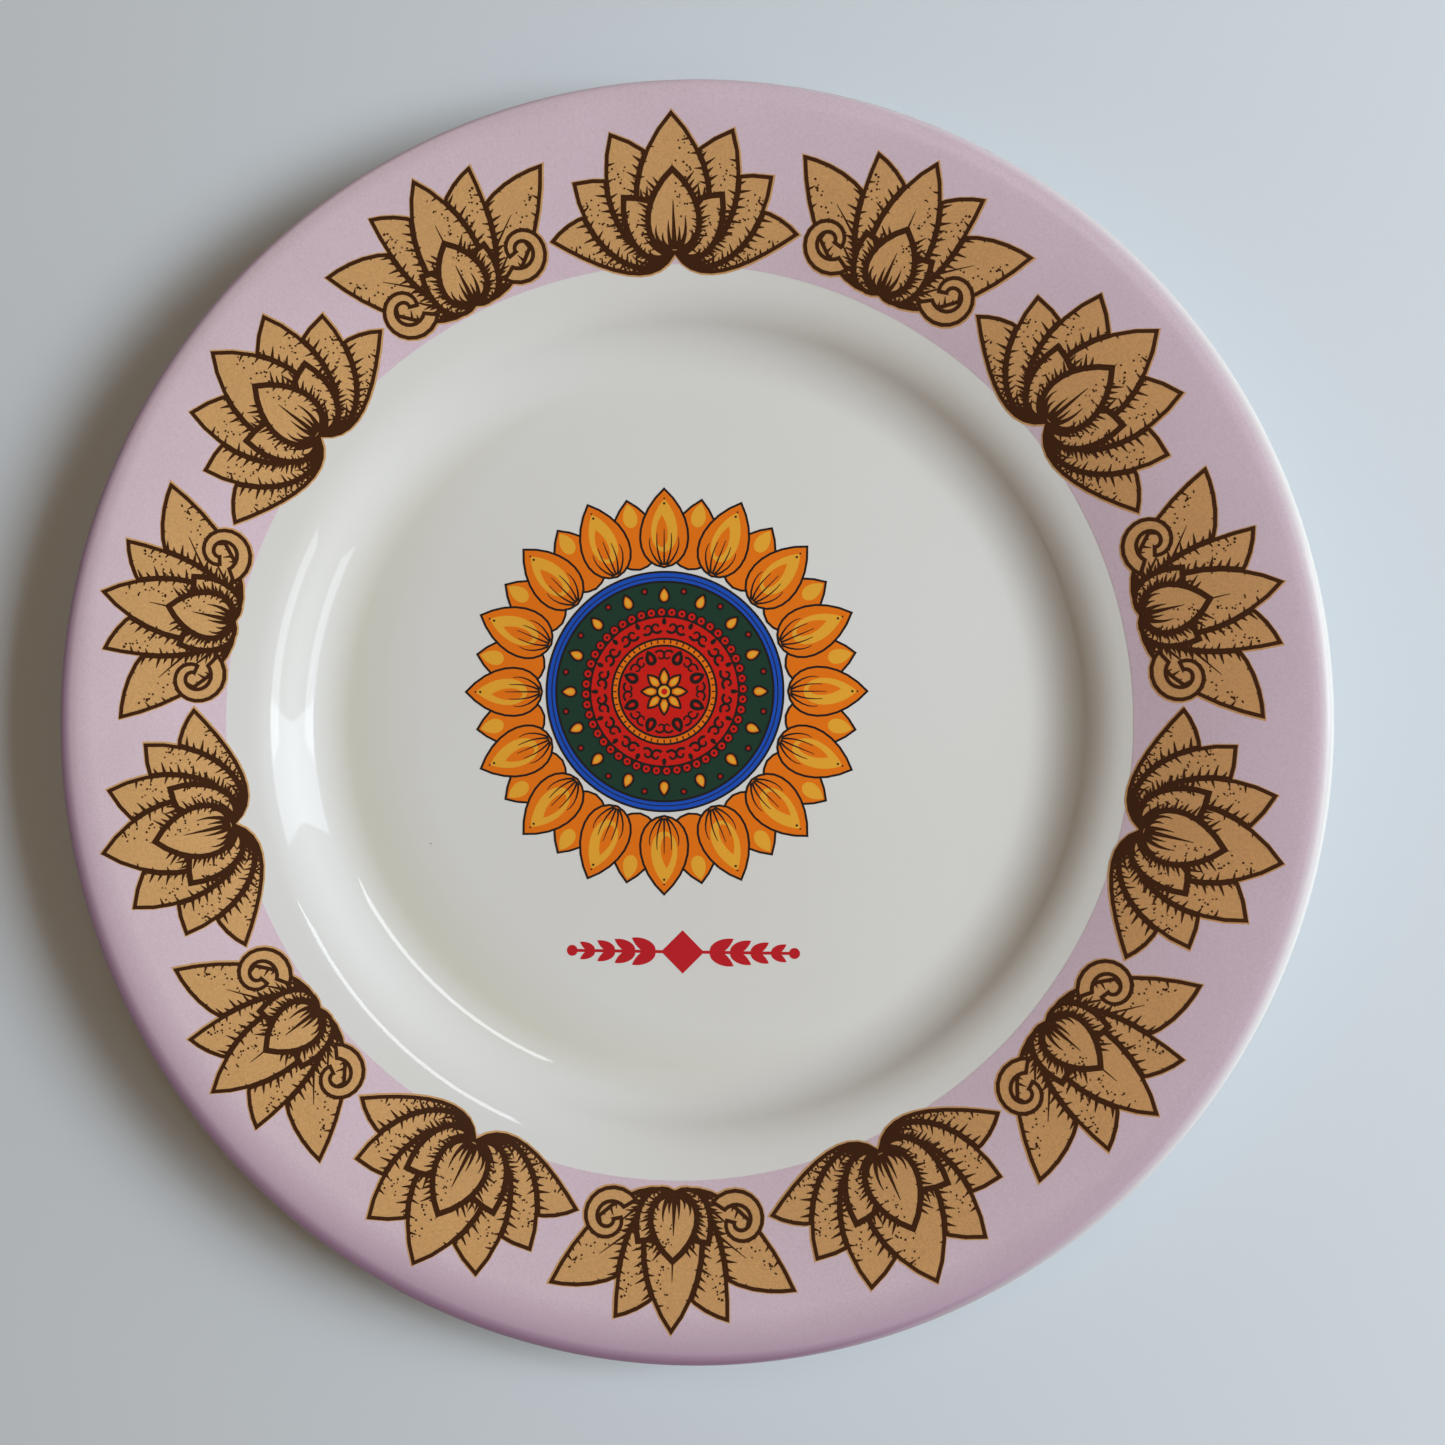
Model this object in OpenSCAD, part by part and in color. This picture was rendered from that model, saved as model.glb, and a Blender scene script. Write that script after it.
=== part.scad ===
// A rimmed porcelain souvenir plate: thrown body with a foot ring, its glaze, and the fired transfer prints.
// Millimetres, +Z up. The origin is on the axis, in the plane of the foot ring's bearing edge.
// Every print lies on the glaze as a thin film, and every ink is a film of its own.

/* [Rim] */
// Outside diameter of the plate
plate_d = 200; // [190:1:240]
// Thickness of the rim and the wall
rim_t = 3.4; // [2.6:0.1:4.2]
// Slope of the rim beside the shoulder, in degrees
rim_slope = 17; // [13:0.5:19]
// How far the rim eases off from that slope on its way to the lip, in degrees
rim_ease = 11; // [8:0.5:12]
// Radius of the rolled lip
lip_r = 8; // [5:0.5:10]
// How far the lip turns down from the end of the rim, in degrees
lip_turn = 20; // [14:1:24]

/* [Well] */
// Diameter of the flat floor
floor_d = 110; // [104:1:114]
// Radius of the hollow curve between floor and wall
cove_r = 12; // [10:0.5:14]
// Slope of the well's wall where it is steepest, in degrees
wall_slope = 48; // [42:1:50]
// Radius of the round shoulder between wall and rim
shoulder_r = 12; // [10:0.5:14]

/* [Foot] */
// Height of the recess inside the foot ring
recess_h = 3; // [2:0.1:4]
// Thickness of the plate between recess and floor, glaze included
base_t = 4; // [3.2:0.1:5]
// How far the foot ring stands outside the flat floor
foot_out = 4; // [3:0.5:5]
// Width of the foot ring
foot_w = 4; // [3:0.1:6]
// Radius of the foot ring's two bearing edges
foot_edge_r = 0.9; // [0.4:0.1:1.2]
// Radius of the hollows where the foot ring meets the plate
foot_hollow_r = 1.3; // [0.8:0.1:1.6]
// Height of the unglazed bearing edge
bare_h = 1.1; // [1:0.1:1.3]

/* [Glaze and ink] */
// Thickness of the glaze
glaze_t = 0.3; // [0.2:0.05:0.4]
// Thickness of one film of fired ink
ink_t = 0.15; // [0.12:0.01:0.25]
// Width of the drawn lines in the border
border_line_w = 0.5; // [0.3:0.05:0.7]
// Gap between inks that are printed side by side
ink_gap = 0.03; // [0.02:0.01:0.08]
// How far the ochre runs out past the lines
ochre_bleed = 0.2; // [0.1:0.05:0.4]
// Width of the drawn lines in the medallion
medallion_line_w = 0.35; // [0.25:0.05:0.5]

/* [Rim band] */
// How far outside the shoulder the band starts
band_start = 2.7; // [2.2:0.1:3.3]
// How far to the left of the axis the transfer was laid
band_shift = 1.2; // [0.5:0.1:1.6]
// Turn of the rim's edge, past the lip, at which the band stops, in degrees
band_stop_turn = 46; // [30:1:60]

/* [Border] */
// Number of lotus and palmette pairs round the rim
border_pairs = 7; // [6:1:7]
// Width of a motif along the rim
motif_w = 38; // [32:0.5:39]
// Height of a motif across the rim
motif_h = 21.5; // [18:0.5:22]
// Gap between the band's inner edge and the motifs
motif_gap = 1.4; // [1:0.1:2]

/* [Medallion] */
// Diameter over the petals
medallion_d = 66; // [58:0.5:72]
// Number of petals in each of the two rows
petal_count = 16; // [12:1:18]
// Diameter inside the petals, over the blue ring
rings_d = 39; // [36:0.5:42]
// Width of the blue ring
blue_w = 1.6; // [1.2:0.1:2]
// Width of the green ring
green_w = 5.6; // [4.6:0.1:6]
// Width of the red ring inside the green one
red_w = 3.6; // [3:0.1:4]
// Width of the orange frame round the flower
frame_w = 1.1; // [0.9:0.1:1.4]
// Gap between the blue ring and the petals
petal_gap = 0.4; // [0.3:0.1:0.8]
// Diameter of the red beads on the green ring
bead_d = 1.3; // [1:0.1:1.6]
// Diameter of the flower in the middle
flower_d = 8; // [7:0.5:9]
// Diameter of the flower's eye
flower_eye_d = 2.6; // [2.2:0.1:3]
// Where the medallion's middle lies to the right of the axis
medallion_x = -3; // [-5:0.5:3]
// Where the medallion's middle lies above the axis
medallion_y = 5; // [3:0.5:7]

/* [Sprig] */
// Length of the red sprig under the medallion
sprig_w = 38; // [30:0.5:44]
// Height of the sprig's middle lozenge
sprig_h = 7; // [5:0.5:8]
// Distance of the sprig below the axis
sprig_drop = 37; // [35.5:0.5:38]
// Width of the sprig's stem
stem_w = 0.5; // [0.4:0.1:0.8]
// Length of the leaves next to the lozenge
leaf_l = 4.4; // [3.5:0.1:5]
// Tilt of the leaves from the stem, in degrees
leaf_tilt = 30; // [22:1:38]
// Step from one pair of leaves to the next
leaf_step = 3.3; // [3:0.1:3.8]
// Diameter of the buds at the stem's ends
bud_d = 1.8; // [1.4:0.1:2.2]

/* [Hidden] */

$fn = 96;
arc_steps = 6;       // steps in each arc of the plate's section
rim_steps = 3;       // steps across the slightly domed rim
edge_steps = 8;      // steps round the rim's edge
curve_steps = 6;     // steps in each side of a drawn leaf
disc_steps = 48;     // steps in a drawn circle
dot_steps = 14;      // steps in a drawn dot
leaf_pairs = 4;      // leaves on each side of the sprig's stem, to the right and to the left

floor_r = floor_d / 2;
floor_z = recess_h + base_t;
foot_r = floor_r + foot_out;
foot_in_r = foot_r - foot_w;

// ---- The section of the plate ----
// Each arc has a middle and turns through slopes. The side that faces up and out is the finished face, and every
// layer of glaze or ink is the same section moved off it by its thickness, so that layers meet face to face.

function up(slope) = [-sin(slope), cos(slope)];
function steps(a, b, n) = [for (i = [0:n]) a + (b - a) * i / n];

rim_end_slope = rim_slope - rim_ease;
lip_end_slope = rim_end_slope - lip_turn;
edge_r = (rim_t - lip_r * (1 - cos(lip_turn))) / (1 + cos(lip_turn));
rim_end_r = plate_d / 2 - lip_r * (sin(rim_end_slope) - sin(lip_end_slope)) - edge_r * (1 + sin(lip_end_slope));

cove_mid = [floor_r, floor_z + cove_r];
shoulder_mid = cove_mid - up(wall_slope) * (cove_r + shoulder_r);
rim_start = shoulder_mid + up(rim_slope) * shoulder_r;
rim_r = (rim_end_r - rim_start.x) / (sin(rim_slope) - sin(rim_end_slope));
rim_mid = rim_start - up(rim_slope) * rim_r;
rim_end = rim_mid + up(rim_end_slope) * rim_r;
lip_mid = rim_end - up(rim_end_slope) * lip_r;
edge_mid = lip_mid + up(lip_end_slope) * (lip_r - edge_r);

// The face from the floor's edge to the end of the shoulder, moved out by d
function well_side(d) = concat(
    [for (s = steps(0, wall_slope, arc_steps)) cove_mid + up(s) * (d - cove_r)],
    [for (s = steps(wall_slope, rim_slope, arc_steps)) shoulder_mid + up(s) * (shoulder_r + d)]);
// The slightly domed rim, the rolled lip, and the round edge down to a given slope
function rim_side(d) = [for (s = steps(rim_slope, rim_end_slope, rim_steps)) rim_mid + up(s) * (rim_r + d)];
function lip_side(d) = [for (s = steps(rim_end_slope, lip_end_slope, arc_steps)) lip_mid + up(s) * (lip_r + d)];
function edge_side(d, last) = [for (s = steps(lip_end_slope, last, edge_steps)) edge_mid + up(s) * (edge_r + d)];
// The underside from the rim's edge in to the hollow beside the foot ring
function under_side(d) = concat(
    [for (s = steps(rim_end_slope, rim_slope, rim_steps)) rim_mid + up(s) * (rim_r - rim_t - d)],
    [for (s = steps(rim_slope, wall_slope, arc_steps)) shoulder_mid + up(s) * (shoulder_r - rim_t - d)],
    [for (s = steps(wall_slope, hollow_slope, arc_steps)) cove_mid - up(s) * (cove_r + rim_t + d)],
    [for (a = steps(90 + hollow_slope, 180, arc_steps)) hollow_mid + [cos(a), sin(a)] * (foot_hollow_r - d)]);

// The hollow's arc touches the foot ring's outer face and the underside of the cove
hollow_reach = foot_out + foot_hollow_r;
hollow_drop = sqrt(pow(cove_r + rim_t + foot_hollow_r, 2) - pow(hollow_reach, 2));
hollow_mid = cove_mid + [hollow_reach, -hollow_drop];
hollow_slope = atan2(hollow_reach, hollow_drop);

// The recess inside the foot ring, from its middle out and down the ring's inner face
function recess_side(d) = concat(
    [[0, recess_h - d]],
    [for (a = steps(90, 0, arc_steps))
        [foot_in_r, recess_h] - [1, 1] * foot_hollow_r + [cos(a), sin(a)] * (foot_hollow_r - d)]);
function recess_end(d, z) = [foot_in_r - d, z];

// The bearing edge of the bare body, from the inner face to the outer one
function bearing_side() = let (inner = foot_in_r + glaze_t, outer = foot_r - glaze_t) concat(
    [for (a = steps(180, 270, 3)) [inner, 0] + [1, 1] * foot_edge_r + [cos(a), sin(a)] * foot_edge_r],
    [for (a = steps(270, 360, 3)) [outer, 0] + [-1, 1] * foot_edge_r + [cos(a), sin(a)] * foot_edge_r]);

function flip(list) = [for (i = [len(list) - 1:-1:0]) list[i]];
function face_side(d, last) = concat([[0, floor_z + d]], well_side(d), rim_side(d), lip_side(d), edge_side(d, last));
function coat_side(d) = concat(face_side(d, rim_end_slope - 180), under_side(d), [[foot_r + d, bare_h]]);

module body() color("ivory") rotate_extrude()
    polygon(concat(face_side(-glaze_t, rim_end_slope - 180), under_side(-glaze_t),
        flip(bearing_side()), flip(recess_side(-glaze_t))));

module face_glaze() color("whitesmoke") rotate_extrude()
    polygon(concat(coat_side(0), flip(coat_side(-glaze_t))));

module base_glaze() color("whitesmoke") rotate_extrude()
    polygon(concat(recess_side(0), [recess_end(0, bare_h)],
        [recess_end(-glaze_t, bare_h)], flip(recess_side(-glaze_t))));

// ---- The lilac band ----
band_in_r = rim_start.x + band_start;
band_last = lip_end_slope - band_stop_turn;
function band_side(d) = concat(rim_side(d), lip_side(d), edge_side(d, band_last));

module rim_band() color("thistle") difference() {
    rotate_extrude() polygon(concat(band_side(0), flip(band_side(ink_t))));
    translate([-band_shift, 0, 0]) cylinder(r = band_in_r, h = 2 * rim_end.y);
}

// ---- Drawing ----
// A drawing is a list of layers from back to front: [ink, edge, outlines]. Each outline is filled with its ink and
// covers what lies behind it. A lined one gets a line inside its edge, in the ink that is printed over all others.
LINE = "line";
OCHRE = "ochre";
ORANGE = "orange";
YELLOW = "yellow";
GREEN = "green";
BLUE = "blue";
RED = "red";
LINED = true;
PLAIN = false;

module ink_area(layers, ink, line_w, last) {
    if (last >= 0) {
        layer = layers[last];
        difference() {
            ink_area(layers, ink, line_w, last - 1);
            for (outline = layer[2]) polygon(outline);
        }
        if (ink == layer[0]) for (outline = layer[2]) polygon(outline);
        if (ink == LINE && layer[1] == LINED) for (outline = layer[2]) difference() {
            polygon(outline);
            offset(delta = -line_w) polygon(outline);
        }
    }
}
// The inks keep a hair's breadth apart, and so do two strokes of one ink that would meet in a point
module drawn(layers, ink, line_w = 0)
    offset(delta = ink_gap / 2) offset(delta = -ink_gap) ink_area(layers, ink, line_w, len(layers) - 1);
module silhouette(layers, bleed) offset(delta = bleed) for (layer = layers, outline = layer[2]) polygon(outline);

function curve(a, b, c, d) = [for (i = [0:curve_steps - 1]) let (t = i / curve_steps, u = 1 - t)
    u * u * u * a + 3 * u * u * t * b + 3 * u * t * t * c + t * t * t * d];
function turned(outline, a) = [for (p = outline) [p.x * cos(a) + p.y * sin(a), p.y * cos(a) - p.x * sin(a)]];
function moved(outline, v) = [for (p = outline) p + v];
function mirrored(outline) = [for (p = outline) [-p.x, p.y]];
function both(outline) = [outline, mirrored(outline)];
function disc(r, n = disc_steps) = [for (i = [0:n - 1]) r * [sin(360 * i / n), cos(360 * i / n)]];
function ring_of(outline, r, n, first = 0) = [for (i = [0:n - 1]) turned(moved(outline, [0, r]), first + 360 * i / n)];

// A pointed petal that stands on the origin
function petal(l, w) = concat(
    curve([0, 0], [0.62 * w, 0.04 * l], [0.72 * w, 0.6 * l], [0, l]),
    curve([0, l], [-0.72 * w, 0.6 * l], [-0.62 * w, 0.04 * l], [0, 0]));
// A flame-shaped leaf whose tip leans over to the right
function flame(l, w, lean) = concat(
    curve([0, 0], [0.6 * w, 0.1 * l], [lean + 0.35 * w, 0.5 * l], [lean, l]),
    curve([lean, l], [lean - 0.6 * w, 0.85 * l], [-0.8 * w, 0.5 * l], [0, 0]));
// A scroll that starts at the left of its eye and winds in under it, to the right
function scroll(r, w, turns, first) = let (n = 2 * curve_steps) concat(
    [for (i = [0:n]) scroll_point(i / n, r, 0, turns, first)],
    [for (i = [n:-1:0]) scroll_point(i / n, r, w, turns, first)]);
function scroll_point(t, r, w, turns, first) = let (a = first + 360 * turns * t)
    (r * (1 - 0.6 * t) - w * (1 - 0.3 * t)) * [sin(a), -cos(a)];

// ---- The border: lotus and palmette motifs in turn ----
pair_angle = 360 / border_pairs;
motif_r = band_in_r + motif_gap;

function lotus() = let (h = motif_h, w = motif_w) [
    [OCHRE, LINED, both(turned(flame(0.52 * w, 0.25 * w, 0.05 * w), 78))],
    [OCHRE, LINED, both(turned(petal(0.9 * h, 0.3 * w), 55))],
    [OCHRE, LINED, both(turned(petal(0.97 * h, 0.3 * w), 28))],
    [OCHRE, LINED, [petal(h, 0.31 * w)]],
    [OCHRE, LINED, both(turned(petal(0.55 * h, 0.2 * w), 42))],
    [OCHRE, LINED, [petal(0.6 * h, 0.22 * w)]]];

// The eye of the palmette's curl, which rides on the lower edge of the outer leaf
function curl_at(h, w) = [0.304 * h + 0.098 * w, 0.352 * h - 0.086 * w];

function palmette() = let (h = motif_h, w = motif_w) [
    [OCHRE, LINED, both(turned(flame(1.1 * h, 0.26 * w, 0.13 * w), 42))],
    [OCHRE, LINED, both(turned(flame(0.98 * h, 0.25 * w, 0.08 * w), 17))],
    [OCHRE, LINED, [petal(h, 0.25 * w)]],
    [OCHRE, LINED, both(moved(scroll(0.25 * h, 0.13 * h, 0.95, -60), curl_at(h, w)))],
    [OCHRE, LINED, both(turned(petal(0.45 * h, 0.17 * w), 36))],
    [OCHRE, LINED, [petal(0.5 * h, 0.2 * w)]]];

// A film on the rim, a number of films up from the glaze, in the outline of its children
module on_rim(films) intersection() {
    linear_extrude(2 * rim_end.y) children();
    rotate_extrude() polygon(concat(rim_side(films * ink_t), flip(rim_side((films + 1) * ink_t))));
}
module round_rim() for (i = [0:border_pairs - 1]) {
    rotate(i * pair_angle) children(0);
    rotate((i + 0.5) * pair_angle) children(1);
}
module border_ochre() color("peru") round_rim() {
    on_rim(1) translate([0, motif_r]) silhouette(lotus(), ochre_bleed);
    on_rim(1) translate([0, motif_r]) silhouette(palmette(), ochre_bleed);
}
module border_brown() color("saddlebrown") round_rim() {
    on_rim(2) translate([0, motif_r]) drawn(lotus(), LINE, border_line_w);
    on_rim(2) translate([0, motif_r]) drawn(palmette(), LINE, border_line_w);
}

// ---- The medallion: petals round rings, and a flower on red in the middle ----
rings_r = rings_d / 2;
green_r = rings_r - blue_w;
red_r = green_r - green_w;
frame_r = red_r - red_w;
heart_r = frame_r - frame_w;
petal_l = medallion_d / 2 - rings_r - petal_gap;
petal_w = 2 * PI * (rings_r + 0.4 * petal_l) / petal_count;
half_step = 180 / petal_count;
flower_petals = 8;

function petals() = let (r = rings_r + petal_gap) [
    [ORANGE, LINED, ring_of(petal(0.9 * petal_l, 0.84 * petal_w), r, petal_count, half_step)],
    [ORANGE, LINED, ring_of(petal(petal_l, 0.84 * petal_w), r, petal_count)],
    [YELLOW, PLAIN, ring_of(petal(0.62 * petal_l, 0.34 * petal_w), r + 0.14 * petal_l, petal_count)]];
function heart() = [
    [BLUE, LINED, [disc(rings_r)]],
    [GREEN, LINED, [disc(green_r)]],
    [YELLOW, LINED, ring_of(petal(0.42 * green_w, 0.3 * green_w), red_r + 0.42 * green_w, petal_count)],
    [RED, LINED, ring_of(disc(bead_d / 2, dot_steps), red_r + 0.6 * bead_d, 2 * petal_count, half_step / 2)],
    [RED, LINED, [disc(red_r)]],
    [ORANGE, LINED, [disc(frame_r)]],
    [RED, LINED, [disc(heart_r)]],
    [LINE, PLAIN, ring_of(petal(0.3 * heart_r, 0.2 * heart_r), 0.62 * heart_r, flower_petals, 180 / flower_petals)],
    [ORANGE, LINED, ring_of(petal(flower_d / 2 - flower_eye_d / 3, 0.24 * flower_d), flower_eye_d / 3,
        flower_petals)],
    [YELLOW, LINED, [disc(flower_eye_d / 2, dot_steps)]]];

module on_floor(films) translate([0, 0, floor_z + films * ink_t]) linear_extrude(ink_t) children();
module medallion_film(ink, drawings, films = 0) for (drawing = drawings)
    on_floor(films) translate([medallion_x, medallion_y]) drawn(drawing, ink, medallion_line_w);

module medallion_orange() color("darkorange") medallion_film(ORANGE, [petals(), heart()]);
module medallion_yellow() color("gold") medallion_film(YELLOW, [petals(), heart()]);
module medallion_green() color("darkgreen") medallion_film(GREEN, [heart()]);
module medallion_blue() color("royalblue") medallion_film(BLUE, [heart()]);
module medallion_red() color("red") medallion_film(RED, [heart()]);
module medallion_black() color("black") medallion_film(LINE, [petals(), heart()], 1);

// ---- The sprig: leaves that grow smaller along a stem, from a lozenge in the middle ----
module sprig_red() color("firebrick") on_floor(0) translate([0, -sprig_drop]) offset(delta = 0) {
    lozenge = [[0, sprig_h / 2], [0.5 * sprig_h, 0], [0, -sprig_h / 2], [-0.5 * sprig_h, 0]];
    polygon(lozenge);
    square([sprig_w - 2, stem_w], center = true);
    for (i = [0:leaf_pairs - 1], side = [-1, 1], outline = both(moved(
            turned(petal(leaf_l * (1 - 0.12 * i), 0.45 * leaf_l * (1 - 0.12 * i)), 90 - side * leaf_tilt),
            [0.5 * sprig_h + leaf_step * (i + 0.3), 0])))
        polygon(outline);
    for (x = [-1, 1]) translate([x * (sprig_w / 2 - bud_d / 2), 0]) circle(d = bud_d, $fn = dot_steps);
}

body();
face_glaze();
base_glaze();
rim_band();
border_ochre();
border_brown();
medallion_orange();
medallion_yellow();
medallion_green();
medallion_blue();
medallion_red();
medallion_black();
sprig_red();
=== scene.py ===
"""A rimmed porcelain souvenir plate: biscuit, glaze and the fired transfer prints that lie on it.

Metres, +Z up, the axis on the origin and the foot ring's bearing edge at z = 0. Drawings are made flat in
millimetres, as a print shop would, and then laid on the plate.
"""
import math
import random

import bpy
import numpy as np
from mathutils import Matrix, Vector
from mathutils.geometry import delaunay_2d_cdt


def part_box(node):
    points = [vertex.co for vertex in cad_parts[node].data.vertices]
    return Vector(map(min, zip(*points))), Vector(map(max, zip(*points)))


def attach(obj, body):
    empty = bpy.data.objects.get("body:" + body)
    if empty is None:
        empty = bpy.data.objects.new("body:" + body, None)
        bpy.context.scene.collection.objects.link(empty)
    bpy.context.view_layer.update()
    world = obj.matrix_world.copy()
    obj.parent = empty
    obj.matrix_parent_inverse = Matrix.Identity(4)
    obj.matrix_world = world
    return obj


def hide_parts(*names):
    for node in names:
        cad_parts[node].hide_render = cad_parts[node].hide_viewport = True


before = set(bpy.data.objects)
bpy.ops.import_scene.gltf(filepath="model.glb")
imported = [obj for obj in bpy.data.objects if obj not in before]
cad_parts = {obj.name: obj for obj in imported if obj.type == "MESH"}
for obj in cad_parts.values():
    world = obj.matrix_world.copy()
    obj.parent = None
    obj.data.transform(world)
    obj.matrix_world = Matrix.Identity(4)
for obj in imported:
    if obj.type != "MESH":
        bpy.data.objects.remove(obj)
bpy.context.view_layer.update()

MM = 0.001
FULL_TURN = 2 * math.pi

# ---- Sizes of the plate, in millimetres ----
PLATE_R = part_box("face_glaze")[1].x / MM
FLOOR_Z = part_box("medallion_orange")[0].z / MM
RIM_T = 3.4
RIM_SLOPE = math.radians(17)
RIM_EASE = math.radians(11)
LIP_R = 8
LIP_TURN = math.radians(20)
FLOOR_R = 55
COVE_R = 12
WALL_SLOPE = math.radians(48)
SHOULDER_R = 12
FOOT_OUT = 4
FOOT_W = 4
FOOT_EDGE_R = 0.9
FOOT_HOLLOW_R = 1.3
BARE_H = 1.1
GLAZE_T = 0.3
RECESS_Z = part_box("base_glaze")[1].z / MM - GLAZE_T

BAND_SHIFT = 1.2
BAND_SLIDE_W = 5        # the band's inner edge is slid over this width
BAND_START = 2.7
BAND_STOP_TURN = math.radians(46)
BAND_T = 0.03
OCHRE_T = 0.02
INK_T = 0.03

ROUND_STEPS = 256       # faces round the axis
ARC_STEP = math.radians(3.5)
RIM_STEPS = 16          # faces across the rim's slight dome
SHARP = math.radians(35)


# ---- The section: arcs that run into each other, named as in a turner's drawing ----
def up(slope):
    """The direction that stands on a surface of that slope, in the section's plane."""
    return Vector((-math.sin(slope), 0, math.cos(slope)))


COVE_MID = Vector((FLOOR_R, 0, FLOOR_Z + COVE_R))
SHOULDER_MID = COVE_MID - up(WALL_SLOPE) * (COVE_R + SHOULDER_R)
RIM_START = SHOULDER_MID + up(RIM_SLOPE) * SHOULDER_R
RIM_END_SLOPE = RIM_SLOPE - RIM_EASE
LIP_END_SLOPE = RIM_END_SLOPE - LIP_TURN
EDGE_R = (RIM_T - LIP_R * (1 - math.cos(LIP_TURN))) / (1 + math.cos(LIP_TURN))
RIM_END_X = (PLATE_R - LIP_R * (math.sin(RIM_END_SLOPE) - math.sin(LIP_END_SLOPE))
             - EDGE_R * (1 + math.sin(LIP_END_SLOPE)))
RIM_R = (RIM_END_X - RIM_START.x) / (math.sin(RIM_SLOPE) - math.sin(RIM_END_SLOPE))
RIM_MID = RIM_START - up(RIM_SLOPE) * RIM_R
LIP_MID = RIM_MID + up(RIM_END_SLOPE) * (RIM_R - LIP_R)
EDGE_MID = LIP_MID + up(LIP_END_SLOPE) * (LIP_R - EDGE_R)
FOOT_R = FLOOR_R + FOOT_OUT
FOOT_IN_R = FOOT_R - FOOT_W
HOLLOW_REACH = FOOT_OUT + FOOT_HOLLOW_R
HOLLOW_DROP = math.sqrt((COVE_R + RIM_T + FOOT_HOLLOW_R) ** 2 - HOLLOW_REACH ** 2)
HOLLOW_MID = COVE_MID + Vector((HOLLOW_REACH, 0, -HOLLOW_DROP))
HOLLOW_SLOPE = math.atan2(HOLLOW_REACH, HOLLOW_DROP)
BAND_IN_R = RIM_START.x + BAND_START


def face_z(r):
    """Height of the finished face at a distance r from the axis, from the middle to the end of the rim."""
    if r <= FLOOR_R:
        return FLOOR_Z
    if r <= FLOOR_R + COVE_R * math.sin(WALL_SLOPE):
        return COVE_MID.z - math.sqrt(COVE_R ** 2 - (r - FLOOR_R) ** 2)
    if r <= RIM_START.x:
        return SHOULDER_MID.z + math.sqrt(SHOULDER_R ** 2 - (SHOULDER_MID.x - r) ** 2)
    return RIM_MID.z + math.sqrt(RIM_R ** 2 - (RIM_MID.x - r) ** 2)


# ---- Turning: a profile is drawn point by point from one vertex, then spun round the axis ----
def start_profile(name, x, z):
    """Starts a piece as one vertex at a point of the section, in edit mode."""
    bpy.ops.object.select_all(action="DESELECT")
    bpy.ops.mesh.primitive_plane_add(size=MM, location=(0, 0, 0))
    piece = bpy.context.object
    piece.name = name
    piece.data.name = name
    bpy.ops.object.mode_set(mode="EDIT")
    bpy.ops.mesh.merge(type="CENTER")
    bpy.ops.transform.translate(value=(x * MM, 0, z * MM))
    return piece


def line_to(piece, x, z, steps=1):
    """Extrudes the profile's last vertex in a straight line to a point of the section."""
    piece.update_from_editmode()
    last = next(v.co for v in piece.data.vertices if v.select)
    step = (Vector((x * MM, 0, z * MM)) - last) / steps
    for _ in range(steps):
        bpy.ops.mesh.extrude_region_move(TRANSFORM_OT_translate={"value": step})


def arc_round(mid, turn, steps=None):
    """Carries the profile on round an arc's middle by an angle. A positive one makes it steeper."""
    steps = steps or max(2, round(abs(turn) / ARC_STEP))
    bpy.ops.mesh.spin(steps=steps, angle=turn, center=mid * MM, axis=(0, 1, 0))


def turn_on_wheel():
    """Spins the whole profile round the plate's axis and closes the seam and the pole."""
    bpy.ops.mesh.select_all(action="SELECT")
    bpy.ops.mesh.spin(steps=ROUND_STEPS, angle=FULL_TURN, center=(0, 0, 0), axis=(0, 0, 1))
    bpy.ops.mesh.select_all(action="SELECT")
    bpy.ops.mesh.remove_doubles(threshold=0.002 * MM)
    bpy.ops.mesh.dissolve_degenerate(threshold=0.001 * MM)


def leave_edit_mode(piece, faces_up):
    """Points the faces of an open skin the way its highest face should look, and smooths them."""
    bpy.ops.object.mode_set(mode="OBJECT")
    top = max(piece.data.polygons, key=lambda face: abs(face.normal.z))
    if (top.normal.z > 0) != faces_up:
        piece.data.flip_normals()
    bpy.ops.object.shade_smooth()


def thicken(piece, thickness, offset):
    """Makes a closed wall out of a skin: offset -1 grows it behind the faces, 1 in front of them."""
    wall = piece.modifiers.new("wall", "SOLIDIFY")
    wall.thickness = thickness * MM
    wall.offset = offset
    wall.use_quality_normals = True
    bpy.context.view_layer.objects.active = piece
    bpy.ops.object.modifier_apply(modifier=wall.name)
    bpy.ops.object.shade_smooth_by_angle(angle=SHARP)


def rim_and_underside():
    """Carries a profile from the start of the rim round its edge and back to the foot ring's outer face."""
    arc_round(RIM_MID, RIM_END_SLOPE - RIM_SLOPE, RIM_STEPS)
    arc_round(LIP_MID, LIP_END_SLOPE - RIM_END_SLOPE)
    arc_round(EDGE_MID, RIM_END_SLOPE - math.pi - LIP_END_SLOPE)
    arc_round(RIM_MID, RIM_SLOPE - RIM_END_SLOPE, RIM_STEPS // 2)
    arc_round(SHOULDER_MID, WALL_SLOPE - RIM_SLOPE)
    arc_round(COVE_MID, HOLLOW_SLOPE - WALL_SLOPE)
    arc_round(HOLLOW_MID, math.pi / 2 - HOLLOW_SLOPE)


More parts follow.
